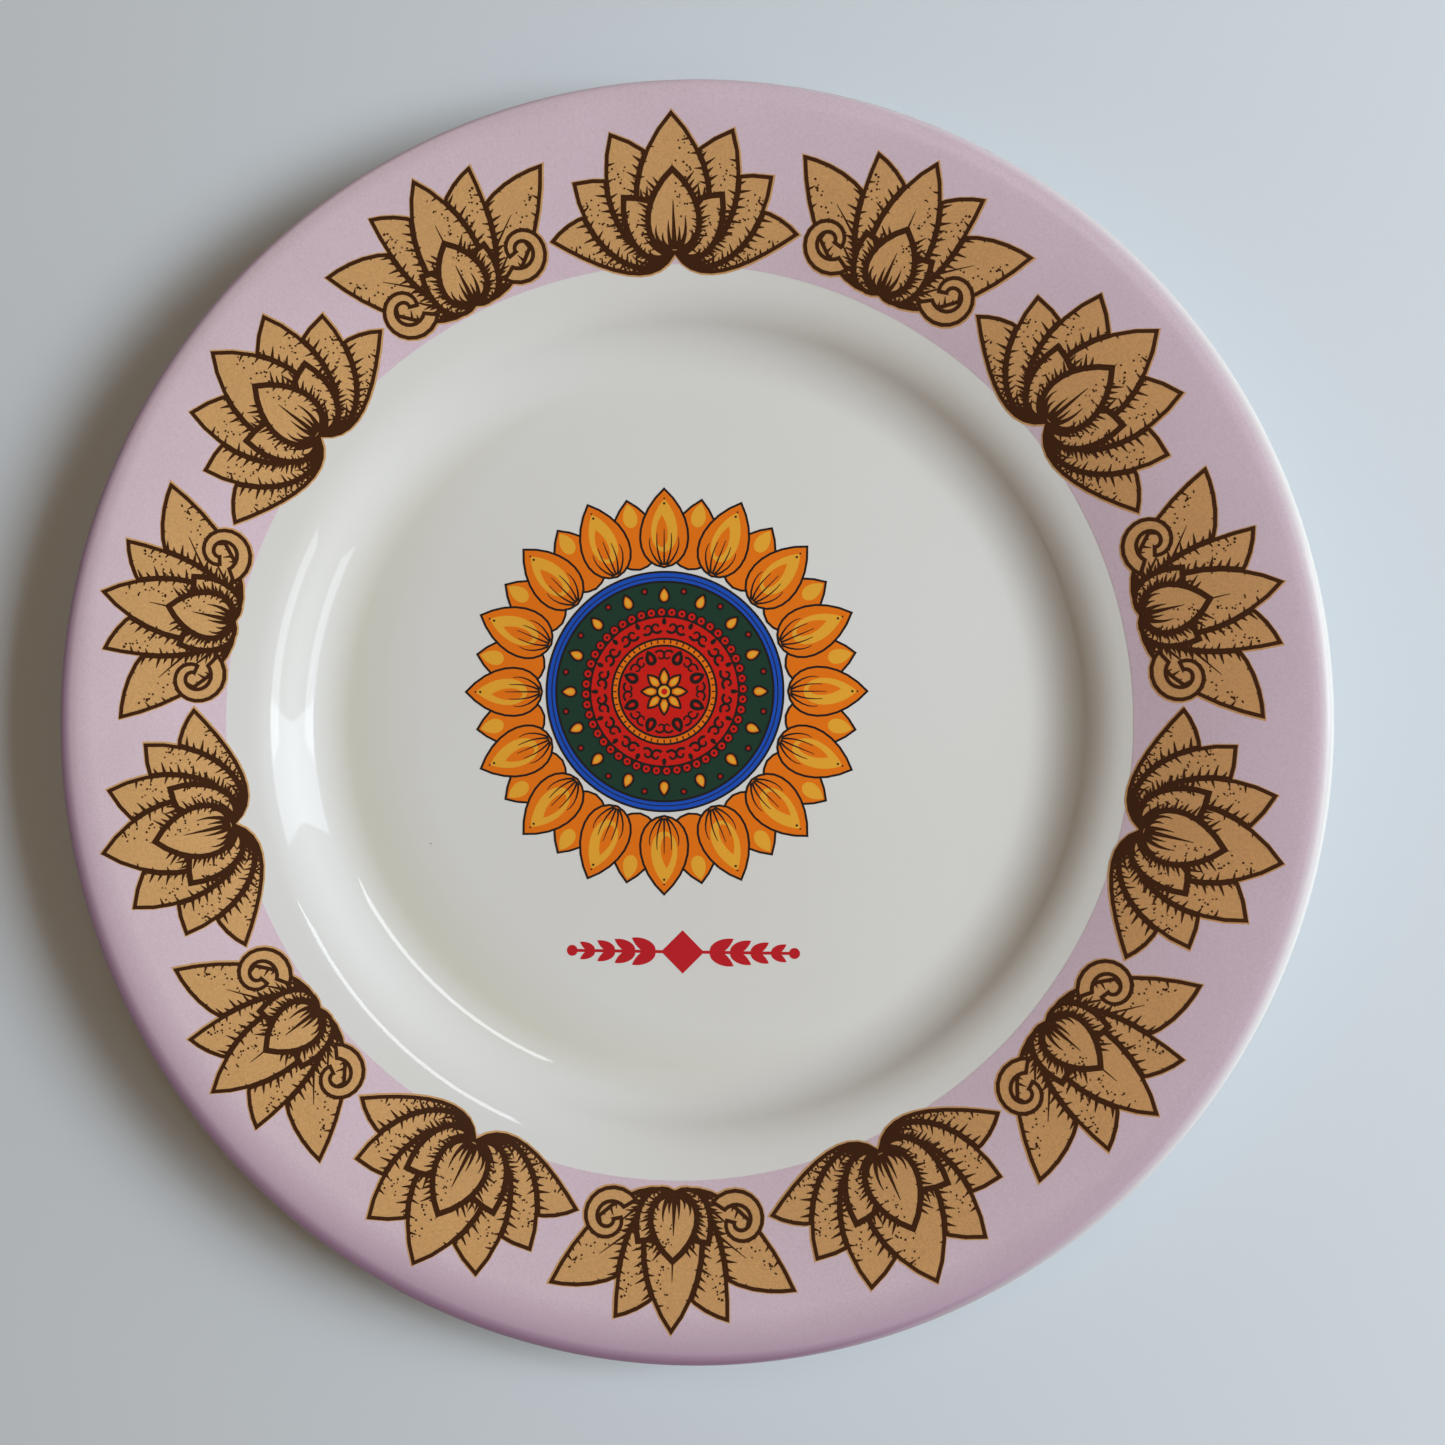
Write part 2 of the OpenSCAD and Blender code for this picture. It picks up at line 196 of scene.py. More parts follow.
def make_face_glaze():
    piece = start_profile("face_glaze_coat", 0, FLOOR_Z)
    line_to(piece, FLOOR_R, FLOOR_Z, 12)
    arc_round(COVE_MID, WALL_SLOPE)
    arc_round(SHOULDER_MID, RIM_SLOPE - WALL_SLOPE)
    rim_and_underside()
    line_to(piece, FOOT_R, BARE_H, 2)
    turn_on_wheel()
    leave_edit_mode(piece, faces_up=True)
    thicken(piece, GLAZE_T, -1)
    return piece


def make_base_glaze():
    piece = start_profile("base_glaze_coat", 0, RECESS_Z)
    line_to(piece, FOOT_IN_R - FOOT_HOLLOW_R, RECESS_Z, 8)
    arc_round(Vector((FOOT_IN_R - FOOT_HOLLOW_R, 0, RECESS_Z - FOOT_HOLLOW_R)), -math.pi / 2)
    line_to(piece, FOOT_IN_R, BARE_H, 2)
    turn_on_wheel()
    leave_edit_mode(piece, faces_up=False)
    thicken(piece, GLAZE_T, -1)
    return piece


def make_biscuit():
    """The fired clay under the glaze, which shows only on the foot ring's bearing edge."""
    piece = start_profile("porcelain_biscuit", 0, FLOOR_Z - GLAZE_T)
    line_to(piece, FLOOR_R, FLOOR_Z - GLAZE_T, 4)
    arc_round(COVE_MID, WALL_SLOPE)
    arc_round(SHOULDER_MID, RIM_SLOPE - WALL_SLOPE)
    rim_and_underside()
    bearing_r = FOOT_R - GLAZE_T
    line_to(piece, bearing_r, FOOT_EDGE_R, 4)
    arc_round(Vector((bearing_r - FOOT_EDGE_R, 0, FOOT_EDGE_R)), -math.pi / 2)
    bearing_in_r = FOOT_IN_R + GLAZE_T
    line_to(piece, bearing_in_r + FOOT_EDGE_R, 0, 2)
    arc_round(Vector((bearing_in_r + FOOT_EDGE_R, 0, FOOT_EDGE_R)), -math.pi / 2)
    line_to(piece, bearing_in_r, RECESS_Z - FOOT_HOLLOW_R, 2)
    arc_round(Vector((FOOT_IN_R - FOOT_HOLLOW_R, 0, RECESS_Z - FOOT_HOLLOW_R)), math.pi / 2)
    line_to(piece, 0, RECESS_Z + GLAZE_T, 4)
    turn_on_wheel()
    bpy.ops.mesh.normals_make_consistent(inside=False)
    bpy.ops.object.mode_set(mode="OBJECT")
    bpy.ops.object.shade_smooth_by_angle(angle=SHARP)
    return piece


def make_rim_band():
    """The lilac film. Its inner edge is off centre, because the transfer was laid a little to the left."""
    piece = start_profile("lilac_rim_band", BAND_IN_R, face_z(BAND_IN_R))
    slide_end = BAND_IN_R + BAND_SLIDE_W
    arc_round(RIM_MID, RIM_END_SLOPE - math.asin((RIM_MID.x - BAND_IN_R) / RIM_R), RIM_STEPS)
    arc_round(LIP_MID, LIP_END_SLOPE - RIM_END_SLOPE)
    arc_round(EDGE_MID, -BAND_STOP_TURN)
    turn_on_wheel()
    leave_edit_mode(piece, faces_up=True)
    for vertex in piece.data.vertices:
        r = vertex.co.xy.length / MM
        if r < slide_end:
            slid = r - BAND_SHIFT * vertex.co.x / MM / r * (slide_end - r) / BAND_SLIDE_W
            vertex.co *= slid / r
            vertex.co.z = face_z(slid) * MM
    thicken(piece, BAND_T, 1)
    return piece


# ---- Drawing: layers from back to front, each (ink, edge, outlines), which cover what lies behind ----
LINE = "line"
OCHRE = "ochre"
ORANGE = "orange"
YELLOW = "yellow"
GREEN = "green"
BLUE = "blue"
RED = "red"
LINED = "lined"         # the line runs round inside its edge
PLAIN = "plain"
WITHIN = "within"       # seen only inside the last layer that is lined or plain
OVER = "over"           # seen only over ink
CURVE_STEPS = 10
BLUNT = 0.5             # keeps the corners of an outline that is moved out from running into spikes


def bezier(a, b, c, d, t):
    a, b, c, d = (np.array(p, float) for p in (a, b, c, d))
    u = 1 - t
    return u * u * u * a + 3 * u * u * t * b + 3 * u * t * t * c + t * t * t * d


def curve(a, b, c, d, steps=CURVE_STEPS):
    return [bezier(a, b, c, d, i / steps) for i in range(steps)]


def disc(r, steps=12, x=0, y=0):
    angles = [FULL_TURN * i / steps for i in range(steps)]
    return np.array([(x + r * math.sin(angle), y + r * math.cos(angle)) for angle in angles])


def petal(length, width):
    """A pointed petal that stands on the origin."""
    w, h = width, length
    right = curve((0, 0), (0.62 * w, 0.04 * h), (0.72 * w, 0.6 * h), (0, h))
    left = curve((0, h), (-0.72 * w, 0.6 * h), (-0.62 * w, 0.04 * h), (0, 0))
    return np.array(right + left)


def flame(length, width, lean):
    """A flame-shaped leaf whose tip leans over to the right."""
    w, h = width, length
    right = curve((0, 0), (0.6 * w, 0.1 * h), (lean + 0.35 * w, 0.5 * h), (lean, h))
    left = curve((lean, h), (lean - 0.6 * w, 0.85 * h), (-0.8 * w, 0.5 * h), (0, 0))
    return np.array(right + left)


def scroll(r, width, turns, first):
    """A scroll that starts at the left of its eye and winds in under it, to the right."""
    def point(t, w):
        angle = math.radians(first + 360 * turns * t)
        reach = r * (1 - 0.6 * t) - w * (1 - 0.3 * t)
        return reach * math.sin(angle), -reach * math.cos(angle)
    steps = 2 * CURVE_STEPS
    return np.array([point(i / steps, 0) for i in range(steps + 1)]
                    + [point(i / steps, width) for i in range(steps, -1, -1)])


def stroke(points, start_w, end_w):
    """A pen stroke along points that swells or tapers from one width to the other."""
    points = np.array(points, float)
    run = np.gradient(points, axis=0)
    side = np.stack((-run[:, 1], run[:, 0]), 1) / np.linalg.norm(run, axis=1)[:, None]
    half = np.linspace(start_w, end_w, len(points))[:, None] / 2
    return np.concatenate((points + side * half, (points - side * half)[::-1]))


def turned(outline, degrees):
    """The outline turned clockwise about the origin."""
    c, s = math.cos(math.radians(degrees)), math.sin(math.radians(degrees))
    return outline @ np.array(((c, -s), (s, c)))


def placed(layers, degrees=0, x=0, y=0, mirror=False):
    flip = np.array((-1 if mirror else 1, 1))
    return [(ink, edge, [(turned(outline, degrees) + (x, y)) * flip for outline in outlines])
            for ink, edge, outlines in layers]


def pair(layers, degrees=0, x=0, y=0):
    return placed(layers, degrees, x, y) + placed(layers, degrees, x, y, mirror=True)


def ring_of(layers, r, count, first=0):
    """Copies stood round the origin at a distance r. Copies of one layer stay one layer."""
    return [(ink, edge, [turned(outline + (0, r), first + 360 * i / count)
                          for i in range(count) for outline in outlines])
            for ink, edge, outlines in layers]


def inset(outline, w, sharpest=0.02):
    """The outline moved in by w with mitred corners, or out where w is negative."""
    ahead = np.roll(outline, -1, 0) - outline
    area = np.sum(outline[:, 0] * np.roll(outline[:, 1], -1) - np.roll(outline[:, 0], -1) * outline[:, 1])
    ahead = ahead / np.linalg.norm(ahead, axis=1)[:, None]
    inward = np.stack((-ahead[:, 1], ahead[:, 0]), 1) * np.sign(area)
    behind = np.roll(inward, 1, 0)
    corner = np.maximum(1 + np.sum(inward * behind, 1), sharpest)
    return outline + (inward + behind) * (w / corner)[:, None]


def inside(points, outline):
    """Which points lie in the outline, by counting the edges to their right."""
    found = np.zeros(len(points), bool)
    near = np.all((points >= outline.min(0)) & (points <= outline.max(0)), axis=1).nonzero()[0]
    x, y = points[near, 0, None], points[near, 1, None]
    a, b = outline, np.roll(outline, -1, 0)
    spans = (a[:, 1] > y) != (b[:, 1] > y)
    rise = np.where(b[:, 1] == a[:, 1], 1, b[:, 1] - a[:, 1])
    crossing = a[:, 0] + (y - a[:, 1]) * (b[:, 0] - a[:, 0]) / rise
    found[near] = np.sum(spans & (x < crossing), axis=1) % 2 == 1
    return found


def edge_distance(points, outline):
    a = outline[None]
    run = (np.roll(outline, -1, 0) - outline)[None]
    along = np.clip(np.sum((points[:, None] - a) * run, 2) / np.sum(run * run, 2), 0, 1)
    return np.min(np.linalg.norm(points[:, None] - a - along[..., None] * run, axis=2), axis=1)


def without_hidden(layers):
    """The layers less the marks that lie wholly under an outline of a later layer."""
    shown = []
    covers = []
    for ink, edge, outlines in reversed(layers):
        if edge in (WITHIN, OVER):
            outlines = [outline for outline in outlines
                        if not any(np.all(inside(outline, cover)) for cover in covers)]
        if edge == LINED:
            covers += outlines
        shown.append((ink, edge, outlines))
    return shown[::-1]


def cut_by_ink(layers, line_w=0, grid=0):
    """Cuts a drawing into flat triangles, {ink: (corners, triangles)}. A grid keeps them small."""
    layers = without_hidden(layers)
    loops = []
    for _, edge, outlines in layers:
        loops += outlines
        if edge == LINED and line_w:
            loops += [inset(outline, line_w) for outline in outlines]
    corners = [tuple(p) for loop in loops for p in loop]
    edges = []
    first = 0
    for loop in loops:
        edges += [(first + i, first + (i + 1) % len(loop)) for i in range(len(loop))]
        first += len(loop)
    if grid:
        low, high = np.min(corners, 0) - 0.1, np.max(corners, 0) + 0.1
        for x in np.arange(low[0] + grid / 2, high[0], grid):
            edges.append((len(corners), len(corners) + 1))
            corners += [(x, low[1]), (x, high[1])]
        for y in np.arange(low[1] + grid / 2, high[1], grid):
            edges.append((len(corners), len(corners) + 1))
            corners += [(low[0], y), (high[0], y)]
    verts, _, faces, *_ = delaunay_2d_cdt([Vector(p) for p in corners], edges, [], 0, 1e-5)
    verts = np.array([tuple(v) for v in verts])
    faces = np.array(faces)
    middles = verts[faces].mean(1)
    inks = np.full(len(faces), None, object)
    for ink, edge, outlines in layers:
        covered = np.zeros(len(faces), bool)
        for outline in outlines:
            covered |= inside(middles, outline)
        if edge == WITHIN:
            covered &= ground
        elif edge == OVER:
            covered &= inks.astype(bool)
        else:
            ground = covered
        inks[covered] = ink
        if edge == LINED and line_w:
            for outline in outlines:
                near = inside(middles, outline).nonzero()[0]
                inks[near[edge_distance(middles[near], outline) < line_w]] = LINE
    cut = {}
    for ink in sorted(set(inks[inks.astype(bool)])):
        used, tris = np.unique(faces[inks == ink], return_inverse=True)
        cut[ink] = verts[used], tris.reshape(-1, 3)
    return cut


# ---- The border's motifs ----
BORDER_PAIRS = 7
MOTIF_W = 38
MOTIF_H = 21.5
MOTIF_R = BAND_IN_R + 1.4
BORDER_LINE_W = 0.6
BORDER_GRID = 4
OCHRE_BLEED = 0.2
OCHRE_SLIP = (0.08, -0.06)      # how far the ochre's screen was set off the lines' one
PEN_W = 0.6
PEN_TIP_W = 0.1
SHADE_W = 0.3
SHADE_REACH = 1.7
HATCH_STEP = 0.42
HATCH_LENGTHS = (0.62, 1.0, 0.48, 0.85)
FAN_W = 0.95
FAN = ((-0.33, 0.4), (-0.21, 0.3), (-0.1, 0.46), (0, 0.74), (0.1, 0.38), (0.22, 0.52), (0.34, 0.34))


def hatching(outline, first, last, reach):
    """Tapering strokes square to an outline, in from its edge, or out where reach is negative."""
    strokes = []
    far = inset(outline, reach, BLUNT)
    for k, t in enumerate(np.arange(first, last, HATCH_STEP)):
        i, part = int(t), t - int(t)
        start = outline[i] * (1 - part) + outline[i + 1] * part
        end = far[i] * (1 - part) + far[i + 1] * part
        tip = start + (end - start) * HATCH_LENGTHS[k % len(HATCH_LENGTHS)] + (0, 0.3 * abs(reach))
        strokes.append(stroke((start, (start + tip) / 2, tip), PEN_W, PEN_TIP_W))
    return strokes


def leaf_marks(outline, length, width, lean):
    """Pen work inside a leaf: a fan of strokes from its foot, hatching along its sides and stipple."""
    h, w = length, width
    marks = []
    for spread, reach in FAN:
        bend = lean * reach * reach
        line = curve((0.4 * spread * w, 0.06 * h), (spread * w, 0.35 * reach * h),
                     (1.2 * spread * w + 0.5 * bend, 0.65 * reach * h),
                     (0.9 * spread * w + bend, reach * h), 7)
        marks.append(stroke(line, FAN_W, PEN_TIP_W))
    marks += hatching(outline, 3, 9, 0.16 * w)
    marks += hatching(outline, 11.5, 14, 0.1 * w)
    rng = random.Random(int(100 * length + width))
    for _ in range(max(5, int(length * 0.9))):
        y = rng.uniform(0.42, 0.84)
        x = rng.uniform(0.04, 0.3)
        marks.append(disc(rng.uniform(0.12, 0.2), 6, x * w * (1.5 - y) + lean * y * y, y * h))
    return marks


def inked(outline, length, width, lean=0):
    """A leaf with its pen work, and the shade that it throws on the leaves behind it."""
    shade = [inset(outline, -SHADE_W, BLUNT)]
    shade += hatching(outline, 1.5, 9, -SHADE_REACH)
    shade += hatching(outline, 11.5, 18.5, -SHADE_REACH)
    marks = leaf_marks(outline, length, width, lean)
    return [(LINE, OVER, shade), (OCHRE, LINED, [outline]), (LINE, WITHIN, marks)]


def inked_petal(length, width):
    return inked(petal(length, width), length, width)


def inked_flame(length, width, lean):
    return inked(flame(length, width, lean), length, width, lean)


def lotus():
    h, w = MOTIF_H, MOTIF_W
    return (pair(inked_flame(0.52 * w, 0.25 * w, 0.05 * w), 78)
            + pair(inked_petal(0.9 * h, 0.3 * w), 55)
            + pair(inked_petal(0.97 * h, 0.3 * w), 28)
            + inked_petal(h, 0.31 * w)
            + pair(inked_petal(0.55 * h, 0.2 * w), 42)
            + inked_petal(0.6 * h, 0.22 * w))


def curl_at(length, width):
    """The eye of the palmette's curl, which rides on the lower edge of the outer leaf."""
    return 0.304 * length + 0.098 * width, 0.352 * length - 0.086 * width


def palmette():
    h, w = MOTIF_H, MOTIF_W
    curl = [(OCHRE, LINED, [scroll(0.25 * h, 0.13 * h, 0.95, -60)])]
    return (pair(inked_flame(1.1 * h, 0.26 * w, 0.13 * w), 42)
            + pair(inked_flame(0.98 * h, 0.25 * w, 0.08 * w), 17)
            + inked_petal(h, 0.25 * w)
            + pair(curl, 0, *curl_at(h, w))
            + pair(inked_petal(0.45 * h, 0.17 * w), 36)
            + inked_petal(0.5 * h, 0.2 * w))


# ---- The medallion ----
MEDALLION_AT = (-3, 5)
MEDALLION_D = 66
MEDALLION_LINE_W = 0.35
PETALS = 16
PETAL_GAP = 0.4
HALF_STEP = 180 / PETALS
BLUE_W = 1.6
GREEN_W = 5.6
RED_W = 3.6
FRAME_W = 1.1
RINGS_R = 19.5
GREEN_R = RINGS_R - BLUE_W
RED_R = GREEN_R - GREEN_W
FRAME_R = RED_R - RED_W
HEART_R = FRAME_R - FRAME_W
BEAD_D = 1.3
FLOWER_D = 8
FLOWER_PETALS = 8
EYE_D = 2.6
SMOOTH = 160            # points round a ring
VEIN_W = 0.34
VEIN_REACH = 0.6
VEINS = ((-0.26, 0.7), (-0.13, 0.85), (0, 1), (0.13, 0.85), (0.26, 0.7))


def veins(length, width):
    """Thin pen strokes fanned up from the foot of a coloured petal."""
    strokes = []
    for x, y in VEINS:
        line = curve((0.2 * x * width, 0.04 * length), (x * width, 0.3 * VEIN_REACH * length),
                     (1.1 * x * width, 0.6 * VEIN_REACH * length),
                     (0.8 * x * width, y * VEIN_REACH * length), 6)
        strokes.append(stroke(line, VEIN_W, PEN_TIP_W))
    return strokes


def medallion_petals():
    """Two rows of two-tone petals, the back one half a step on from the front one."""
    length = MEDALLION_D / 2 - RINGS_R - PETAL_GAP
    width = FULL_TURN * (RINGS_R + 0.4 * length) / PETALS
    foot_r = RINGS_R + PETAL_GAP
    back = [(ORANGE, LINED, [petal(0.9 * length, 0.84 * width)]),
            (YELLOW, WITHIN, [petal(0.3 * length, 0.24 * width) + (0, 0.54 * length)])]
    dots = [disc(0.2, 8, 0, 0.8 * length), disc(0.16, 8, 0, 0.86 * length)]
    front = [(ORANGE, LINED, [petal(length, 0.84 * width)]),
             (YELLOW, PLAIN, [petal(0.66 * length, 0.44 * width) + (0, 0.2 * length)]),
             (ORANGE, PLAIN, [petal(0.4 * length, 0.2 * width) + (-0.04 * width, 0.26 * length)]),
             (LINE, PLAIN, veins(length, width) + dots)]
    return ring_of(back, foot_r, PETALS, HALF_STEP) + ring_of(front, foot_r, PETALS)


def green_ring():
    """A blue cord round a green ring, with leaves and berries by turns and a row of loops inside them."""
    cord = [(BLUE, LINED, [disc(RINGS_R, SMOOTH)]),
            (LINE, PLAIN, [disc(GREEN_R + 0.4 * BLUE_W, SMOOTH)]),
            (BLUE, PLAIN, [disc(GREEN_R + 0.3 * BLUE_W, SMOOTH)])]
    leaf_l = 0.52 * GREEN_W
    leaf = [(ORANGE, LINED, [petal(leaf_l, 0.36 * GREEN_W)]),
            (YELLOW, PLAIN, [petal(0.55 * leaf_l, 0.16 * GREEN_W) + (0, 0.2 * leaf_l)])]
    berry = [(RED, LINED, [disc(0.62, 12)])]
    loop = [(LINE, PLAIN, [disc(0.66 * BEAD_D, 16)]),
            (RED, PLAIN, [disc(0.66 * BEAD_D - 0.26, 14)]),
            (LINE, PLAIN, [disc(0.22, 8)])]
    return (cord + [(GREEN, LINED, [disc(GREEN_R, SMOOTH)])]
            + ring_of(leaf, RED_R + 0.34 * GREEN_W, PETALS)
            + ring_of(berry, RED_R + 0.74 * GREEN_W, PETALS, HALF_STEP)
            + ring_of(loop, RED_R + 0.4 * BEAD_D, 3 * PETALS, HALF_STEP / 2))


def red_ring():
    """A red ring with black curls and buds, and the ticked orange frame inside it."""
    curl = scroll(0.34 * RED_W, 0.13 * RED_W, 0.9, -60)
    curls = [(LINE, PLAIN, [curl + (0.36 * RED_W, 0), curl * (-1, 1) + (-0.36 * RED_W, 0),
                            petal(0.34 * RED_W, 0.2 * RED_W) + (0, 0.12 * RED_W)])]
    ticks = [(LINE, PLAIN, [stroke(((0, 0.2), (0, FRAME_W / 2), (0, FRAME_W - 0.25)), 0.24, 0.12)])]
    return ([(RED, LINED, [disc(RED_R, SMOOTH)])]
            + ring_of(curls, FRAME_R + 0.46 * RED_W, PETALS)
            + [(ORANGE, LINED, [disc(FRAME_R, SMOOTH)])]
            + ring_of(ticks, HEART_R, 3 * PETALS))


def heart():
    """The red middle with its flower, and buds and tendrils by turns round that."""
    bud = [(LINE, PLAIN, [petal(0.34 * HEART_R, 0.24 * HEART_R)]),
           (RED, PLAIN, [petal(0.16 * HEART_R, 0.08 * HEART_R) + (0, 0.08 * HEART_R)])]
    tendril = scroll(0.15 * HEART_R, 0.05 * HEART_R, 0.85, 120)
    aside = (0.08 * HEART_R, 0)
    tendrils = [(LINE, PLAIN, [tendril + aside, tendril * (-1, 1) - aside])]
    petal_l = FLOWER_D / 2 - EYE_D / 3
    flower = [(ORANGE, LINED, [petal(petal_l, 0.24 * FLOWER_D)]),
              (YELLOW, PLAIN, [petal(0.5 * petal_l, 0.1 * FLOWER_D) + (0, 0.7)])]
    return ([(RED, LINED, [disc(HEART_R, SMOOTH)])]
            + ring_of(bud, 0.6 * HEART_R, FLOWER_PETALS, 180 / FLOWER_PETALS)
            + ring_of(tendrils, 0.76 * HEART_R, FLOWER_PETALS)
            + ring_of(flower, EYE_D / 3, FLOWER_PETALS)
            + [(YELLOW, LINED, [disc(EYE_D / 2, 20)]), (RED, PLAIN, [disc(0.2 * EYE_D, 12)])])


def medallion():
    return medallion_petals() + green_ring() + red_ring() + heart()


# ---- The sprig ----
SPRIG_W = 38
SPRIG_H = 7
SPRIG_DROP = 37
STEM_W = 0.5
LEAF_L = 4.4
LEAF_STEP = 3.3
LEAF_TILT = 30
LEAF_PAIRS = 4
BUD_R = 0.9


def sprig():
    half = SPRIG_W / 2
    leaves = []
    for i in range(LEAF_PAIRS):
        size = LEAF_L * (1 - 0.12 * i)
        for tilt in (90 - LEAF_TILT, 90 + LEAF_TILT):
            leaf = turned(petal(size, 0.45 * size), tilt)
            leaves.append(leaf + (0.5 * SPRIG_H + LEAF_STEP * (i + 0.3), 0))
    lozenge = np.array(((0, 1), (1, 0), (0, -1), (-1, 0))) * SPRIG_H / 2
    stem = np.array(((-1, -1), (1, -1), (1, 1), (-1, 1))) * (half - 1, STEM_W / 2)
    half_sprig = [(RED, PLAIN, leaves + [disc(BUD_R, 14, half - BUD_R)])]
    return pair(half_sprig) + [(RED, PLAIN, [stem, lozenge])]


# ---- Printing: flat triangles laid on the plate and given the thickness of fired ink ----
def print_film(name, prints, level, thickness):
    """One film of prints, ((corners, triangles), degrees, (x, y)), each moved, turned and laid down."""
    points, faces = [], []
    for (corners, tris), degrees, shift in prints:
        flat = turned(corners + shift, degrees)
        faces += [[int(i) + len(points) for i in tri] for tri in tris]
        points += [(x * MM, y * MM, (face_z(math.hypot(x, y)) + level) * MM) for x, y in flat]
    mesh = bpy.data.meshes.new(name)
    mesh.from_pydata(points, [], faces)
    piece = bpy.data.objects.new(name, mesh)
    bpy.context.scene.collection.objects.link(piece)
    bpy.ops.object.select_all(action="DESELECT")
    piece.select_set(True)
    bpy.context.view_layer.objects.active = piece
    bpy.ops.object.mode_set(mode="EDIT")
    bpy.ops.mesh.select_all(action="SELECT")
    bpy.ops.mesh.extrude_region_move(TRANSFORM_OT_translate={"value": (0, 0, thickness * MM)})
    bpy.ops.object.mode_set(mode="OBJECT")
    bpy.ops.object.shade_smooth_by_angle(angle=SHARP)
    return piece


# ---- Materials: lengths in their nodes are metres ----
def new_group(name, inputs, outputs):
    """An empty shader node group with its sockets, and the nodes that stand for them."""
    group = bpy.data.node_groups.new(name, "ShaderNodeTree")
    for side, sockets in (("INPUT", inputs), ("OUTPUT", outputs)):
        for label, kind in sockets:
            group.interface.new_socket(name=label, in_out=side, socket_type="NodeSocket" + kind)
    return group, group.nodes.new("NodeGroupInput"), group.nodes.new("NodeGroupOutput")


def node(tree, kind, links=None, **values):
    """A node of a tree. links joins its inputs to other sockets, or sets them where a value is given."""
    made = tree.nodes.new("ShaderNode" + kind)
    for field, value in values.items():
        setattr(made, field, value)
    for label, source in (links or {}).items():
        if isinstance(source, bpy.types.NodeSocket):
            tree.links.new(source, made.inputs[label])
        else:
            made.inputs[label].default_value = source
    return made


def make_print_grain():
    """A fired screen print's light and dark grains and its ink's cloudiness, as shares of the colour."""
    inputs = (("Vector", "Vector"), ("Color", "Color"), ("Grain", "Float"), ("Clouds", "Float"))
    tree, given, out = new_group("print_grain", inputs, (("Color", "Color"), ("Height", "Float")))
    place = given.outputs["Vector"]
    fine = node(tree, "TexNoise", {"Vector": place, "Scale": 2700, "Detail": 3, "Roughness": 0.7})
    broad = node(tree, "TexNoise", {"Vector": place, "Scale": 90, "Detail": 3})
    swings = []
    for noise, amount in ((fine, "Grain"), (broad, "Clouds")):
        swing = node(tree, "Math", {0: noise.outputs["Fac"], 1: 0.5}, operation="SUBTRACT")
        scaled = node(tree, "Math", {0: swing.outputs[0], 1: given.outputs[amount]}, operation="MULTIPLY")
        swings.append(scaled.outputs[0])
    total = node(tree, "Math", {0: swings[0], 1: swings[1]})
    shade = node(tree, "Math", {0: total.outputs[0], 1: 1.0})
    colour = node(tree, "VectorMath", {0: given.outputs["Color"], "Scale": shade.outputs[0]},
                  operation="SCALE")
    tree.links.new(colour.outputs["Vector"], out.inputs["Color"])
    tree.links.new(fine.outputs["Fac"], out.inputs["Height"])
    return tree


def make_glaze_flow():
    """The slow waves and fine orange peel of a glaze that ran smooth in the kiln, as a height in metres."""
    tree, given, out = new_group("glaze_flow", (("Vector", "Vector"),), (("Height", "Float"),))
    waves = node(tree, "TexNoise", {"Vector": given.outputs["Vector"], "Scale": 45, "Detail": 1})
    peel = node(tree, "TexNoise", {"Vector": given.outputs["Vector"], "Scale": 520, "Detail": 1})
    deep = node(tree, "Math", {0: waves.outputs["Fac"], 1: 0.000018}, operation="MULTIPLY")
    height = node(tree, "Math", {0: peel.outputs["Fac"], 1: 0.0000008, 2: deep.outputs[0]},
                  operation="MULTIPLY_ADD")
    tree.links.new(height.outputs[0], out.inputs["Height"])
    return tree


def make_kiln_specks():
    """A mask of the sparse specks that kiln dust leaves in a glaze."""
    inputs = (("Vector", "Vector"), ("Share", "Float"))
    tree, given, out = new_group("kiln_specks", inputs, (("Mask", "Float"),))
    cells = node(tree, "TexVoronoi", {"Vector": given.outputs["Vector"], "Scale": 95, "Randomness": 1.0})
    dot = node(tree, "Math", {0: cells.outputs["Distance"], 1: 0.02}, operation="LESS_THAN")
    chosen = node(tree, "SeparateColor", {"Color": cells.outputs["Color"]})
    few = node(tree, "Math", {0: chosen.outputs["Red"], 1: given.outputs["Share"]}, operation="LESS_THAN")
    mask = node(tree, "Math", {0: dot.outputs[0], 1: few.outputs[0]}, operation="MULTIPLY")
    tree.links.new(mask.outputs[0], out.inputs["Mask"])
    return tree


PRINT_GRAIN = make_print_grain()
GLAZE_FLOW = make_glaze_flow()
KILN_SPECKS = make_kiln_specks()

WHITE = (0.72, 0.715, 0.69, 1)
CREAM = (0.7, 0.685, 0.64, 1)
# painted warm bounce light at one side of the well's foot
BOUNCE_TINT = (0.665, 0.65, 0.565, 1)
SPECK = (0.16, 0.1, 0.05, 1)
CLAY = (0.66, 0.62, 0.54, 1)
RUBBED_CLAY = (0.44, 0.4, 0.34, 1)
# painted sheen: the lilac is lighter at the left, where the window's gloss falls on the rim
LILAC_LEFT_SHEEN = (0.71, 0.555, 0.62, 1)
LILAC_RIGHT = (0.55, 0.42, 0.485, 1)
# painted shade: the band's outer part darker towards the lower left
LILAC_SHADE = (0.4, 0.265, 0.36, 1)
# plum on the lip at the left: ink piled up there, darkened as painted shade where the lip faces away from
# the lamps
PLUM = (0.28, 0.155, 0.24, 1)
GLAZE_ROUGHNESS = 0.035
LILAC_ROUGHNESS = 0.34
BARE_LIP_ROUGHNESS = 0.08
